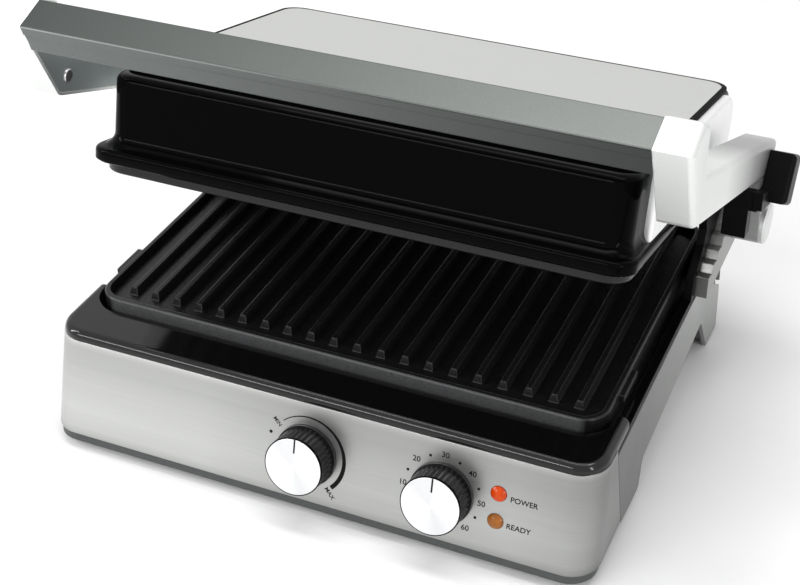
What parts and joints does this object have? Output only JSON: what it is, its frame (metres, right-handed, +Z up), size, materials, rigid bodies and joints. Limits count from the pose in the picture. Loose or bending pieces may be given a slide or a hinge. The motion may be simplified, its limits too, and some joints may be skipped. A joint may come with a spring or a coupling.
{
  "type": "contact grill",
  "caption": "Contact grill with a leaning steel front, ribbed plates above and below, and a lid hung between two arms that swing up on rear hinges.",
  "frame": {"origin": "on the table, under the middle of the base, between the four feet", "axes": "+X to the user's right, +Y to the back, +Z up; the knobs face -Y"},
  "size_m": [0.3623, 0.2915, 0.2368],
  "materials": {
    "black_gloss": "glossy black moulding",
    "black_matt": "fine textured black moulding",
    "dark_grey": "dark grey metallic lacquer",
    "silver_paint": "silver grey lacquer",
    "brushed_steel": "brushed stainless steel",
    "spun_aluminium": "spun bright face",
    "coated_aluminium": "black non-stick coating",
    "pressed_steel": "bright pressed sheet",
    "heater_steel": "dull tubular steel",
    "steel_pin": "turned steel",
    "white_plastic": "off-white moulding",
    "rubber": "soft black rubber",
    "orange_lens": "orange-red lens",
    "amber_lens": "amber lens"
  },
  "bodies": {
    "root": {"bottom_tray": "black_matt", "rubber_feet": "rubber", "base_housing": "black_matt", "front_steel_panel": "brushed_steel", "side_panel_right": "silver_paint", "side_panel_left": "silver_paint", "rear_cover": "black_matt", "cord_bushing": "rubber", "top_deck": "black_gloss", "lower_reflector": "pressed_steel", "lower_heating_element": "heater_steel", "lower_grill_plate": "coated_aluminium", "hinge_tower_right": "black_matt", "hinge_tower_left": "black_matt", "hinge_rack": "white_plastic", "hinge_pins": "steel_pin", "thermostat_body": "pressed_steel", "timer_body": "pressed_steel", "power_lens": "orange_lens", "ready_lens": "amber_lens", "lamp_holders": "black_matt"},
    "arms": {"arm_right": "silver_paint", "arm_left": "silver_paint", "arm_cover_right": "dark_grey", "arm_cover_left": "dark_grey", "handle_cap": "dark_grey", "handle_body": "dark_grey", "handle_core": "steel_pin", "barrel_caps": "silver_paint", "arm_screws": "steel_pin"},
    "lever": {"release_lever": "black_matt"},
    "lid": {"lid_shell": "black_gloss", "lid_top_trim": "black_gloss", "lid_top_sheet": "brushed_steel", "lid_side_cover_right": "silver_paint", "lid_side_cover_left": "silver_paint", "upper_grill_plate": "coated_aluminium", "upper_reflector": "pressed_steel", "upper_heating_element": "heater_steel", "pivot_studs": "steel_pin"},
    "temperature_control": {"temperature_knob": "black_matt", "temperature_knob_cap": "spun_aluminium", "temperature_shaft": "steel_pin"},
    "timer_control": {"timer_knob": "black_matt", "timer_knob_cap": "spun_aluminium", "timer_shaft": "steel_pin"}
  },
  "joints": [
    {"name": "yoke_hinge", "type": "hinge", "parent": "root", "child": "arms", "pos_m": [0, 0.115, 0.079], "axis": [-1, 0, 0], "range_deg": [-24.95, 73.6]},
    {"name": "lid_tilt", "type": "hinge", "parent": "arms", "child": "lid", "pos_m": [0, 0.03013, 0.15335], "axis": [-1, 0, 0], "range_deg": [-31.04, 10.85]},
    {"name": "lever_slide", "type": "slide", "parent": "arms", "child": "lever", "axis": [1, 0, 0], "range_m": [0, 0.006]},
    {"name": "temperature_turn", "type": "hinge", "parent": "root", "child": "temperature_control", "pos_m": [0.0002, -0.11953, 0.0348], "axis": [0, -0.9724, 0.2334], "range_deg": [-135, 72]},
    {"name": "timer_turn", "type": "hinge", "parent": "root", "child": "timer_control", "pos_m": [0.0732, -0.11953, 0.0348], "axis": [0, -0.9724, 0.2334], "range_deg": [-135, 135]}
  ],
  "couplings": [
    {"joint": "lid_tilt", "follows": "yoke_hinge", "ratio": -0.415}
  ]
}
